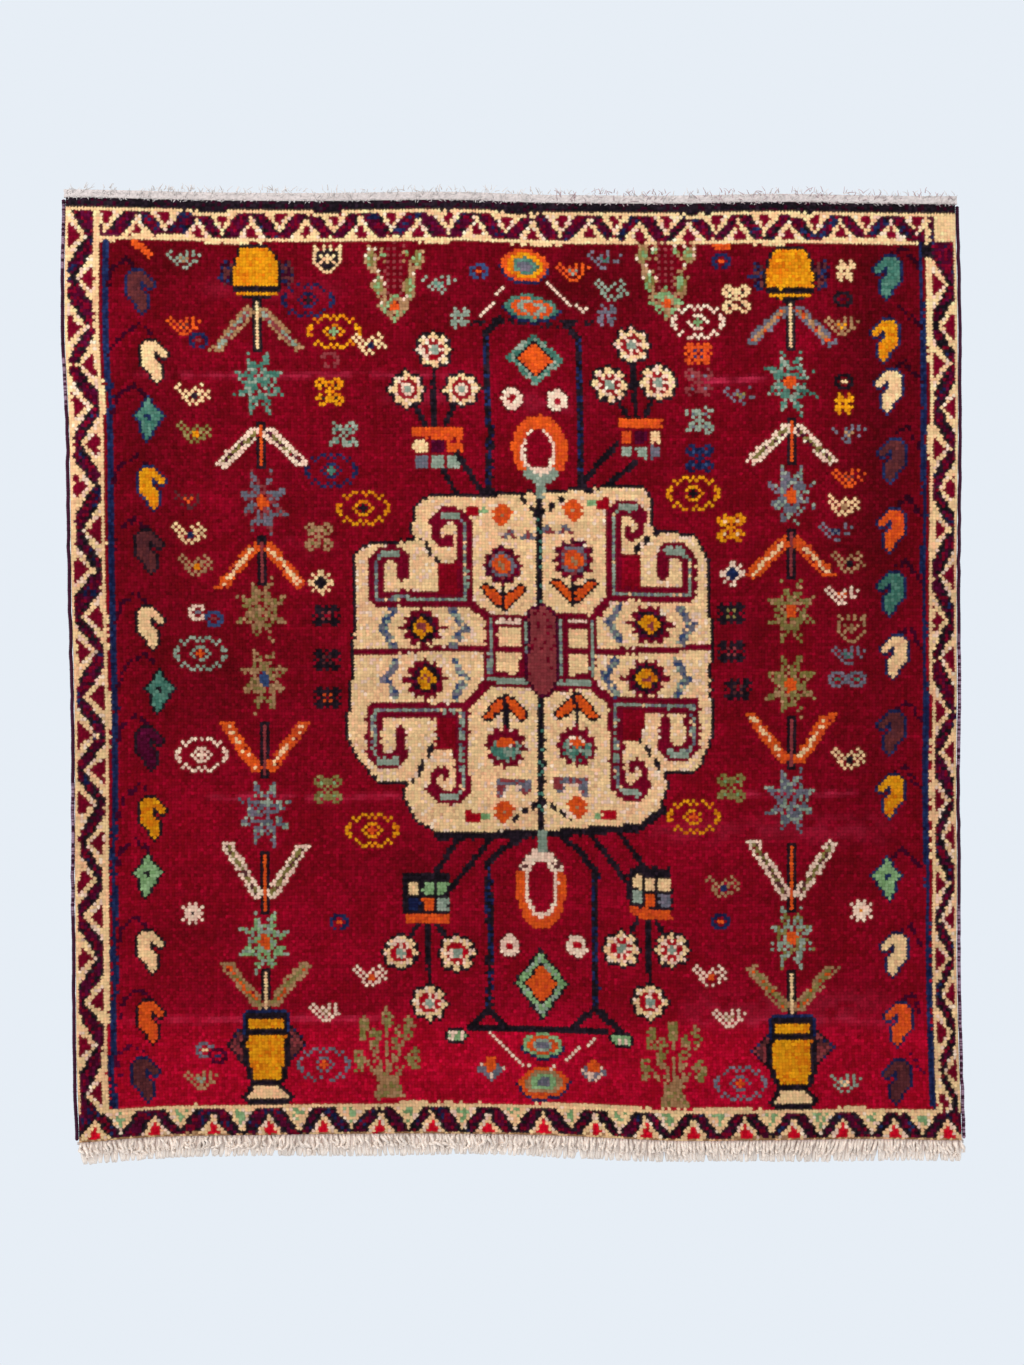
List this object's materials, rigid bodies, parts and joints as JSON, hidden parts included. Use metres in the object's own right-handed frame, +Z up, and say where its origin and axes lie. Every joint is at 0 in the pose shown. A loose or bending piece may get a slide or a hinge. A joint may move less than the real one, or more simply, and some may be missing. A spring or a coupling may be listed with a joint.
{
  "type": "hand-knotted rug",
  "caption": "Small squarish hand-knotted wool rug with a lobed medallion and zigzag border, flat-woven fringed ends and overcast sides, hung by its top edge.",
  "frame": {"origin": "middle of the top edge of the upper flat-woven end strip, on the back of the rug", "axes": "+X to the right seen from the pile side, +Z up, the pile faces -Y and the back faces +Y"},
  "size_m": [0.6546, 0.0142, 0.7174],
  "materials": {
    "pile_wool": "cut wool pile in dyed colours, matt with a soft sheen",
    "overcast_wool": "dark wool wound over the side warps, matt",
    "warp_wool": "undyed twisted wool, flat woven and frayed, matt"
  },
  "bodies": {
    "root": {"pile_cloth": "pile_wool", "selvedge_left": "overcast_wool", "selvedge_right": "overcast_wool", "end_band_top": "warp_wool", "end_band_bottom": "warp_wool"}
  },
  "joints": []
}
